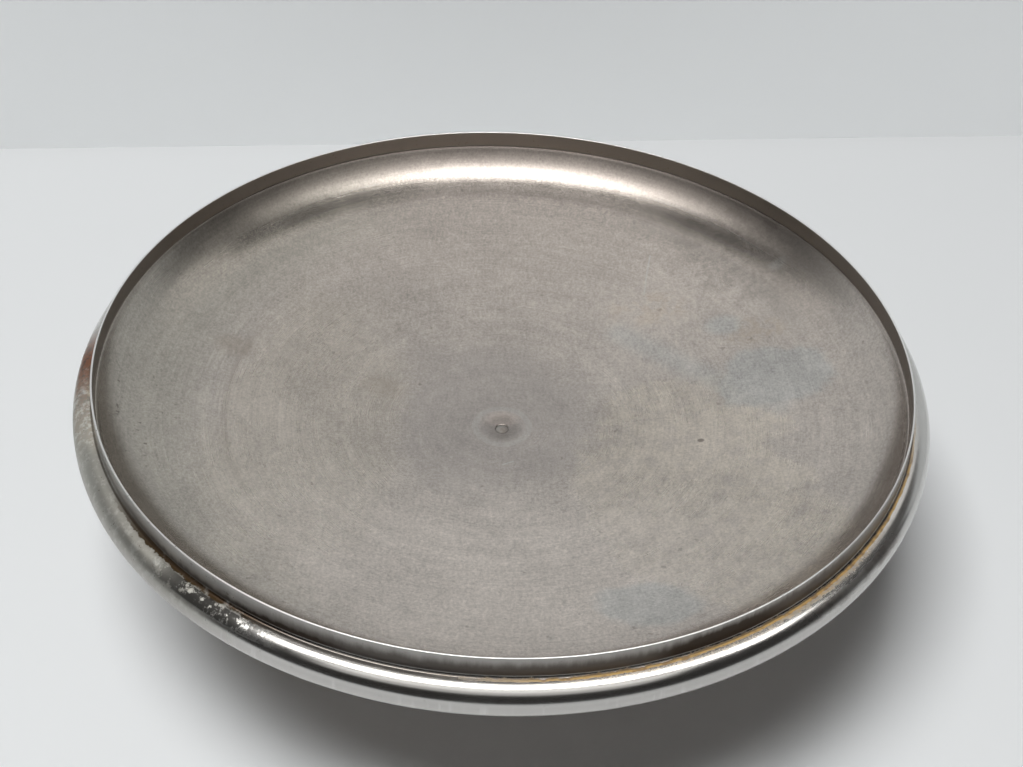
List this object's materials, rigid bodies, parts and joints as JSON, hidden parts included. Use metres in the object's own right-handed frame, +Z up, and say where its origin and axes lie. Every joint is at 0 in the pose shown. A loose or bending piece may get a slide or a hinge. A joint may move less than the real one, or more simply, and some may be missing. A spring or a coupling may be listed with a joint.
{
  "type": "sculpting turntable",
  "caption": "Low bench turntable: a dished spun steel pan with an upright lip and rolled bead turns freely on a ball thrust bearing over a ribbed cast iron base with rubber feet.",
  "frame": {"origin": "centre of the base where the rubber feet stand on the bench, on the spin axis", "axes": "+Z up along the spin axis; +X and +Y in the bench plane, with the feet on the diagonals"},
  "size_m": [0.3166, 0.3166, 0.09],
  "materials": {
    "brushed_pan_steel": "brushed, worn and stained",
    "polished_band_steel": "polished, dulled and rust-stained in the groove",
    "weld_steel": "dull, with weld colour",
    "pad_rubber": "matt moulded rubber",
    "turned_steel": "turned",
    "black_steel": "black oxide",
    "zinc_steel": "zinc plated",
    "ground_steel": "ground, oiled",
    "bearing_brass": "machined",
    "cast_iron": "sand cast, enamelled dark green-grey",
    "bush_bronze": "sintered bronze",
    "seal_felt": "oiled wool felt",
    "foot_rubber": "matt moulded rubber"
  },
  "bodies": {
    "base": {"base_casting": "cast_iron", "upper_bush": "bush_bronze", "lower_bush": "bush_bronze", "lower_race": "ground_steel", "dust_seal": "seal_felt", "foot_1": "foot_rubber", "foot_2": "foot_rubber", "foot_3": "foot_rubber", "foot_4": "foot_rubber", "foot_washers": "zinc_steel", "foot_screws": "zinc_steel"},
    "wheel": {"pan_dish": "brushed_pan_steel", "rim_band": "polished_band_steel", "pan_stud": "weld_steel", "pan_pad": "pad_rubber", "wheel_plate": "turned_steel", "hub": "turned_steel", "hub_screws": "black_steel", "hub_lock_washers": "zinc_steel", "spindle": "ground_steel", "spindle_dowel": "ground_steel", "upper_race": "ground_steel", "end_washer": "zinc_steel", "retaining_ring": "black_steel"},
    "ball_cage": {"bearing_cage": "bearing_brass", "bearing_balls": "ground_steel"}
  },
  "joints": [
    {"name": "wheel_spin", "type": "hinge", "parent": "base", "child": "wheel", "pos_m": [0, 0, 0.03], "axis": [0, 0, 1], "continuous": true},
    {"name": "cage_spin", "type": "hinge", "parent": "base", "child": "ball_cage", "pos_m": [0, 0, 0.0245], "axis": [0, 0, 1], "continuous": true}
  ],
  "couplings": [
    {"joint": "cage_spin", "follows": "wheel_spin", "ratio": 0.5}
  ]
}
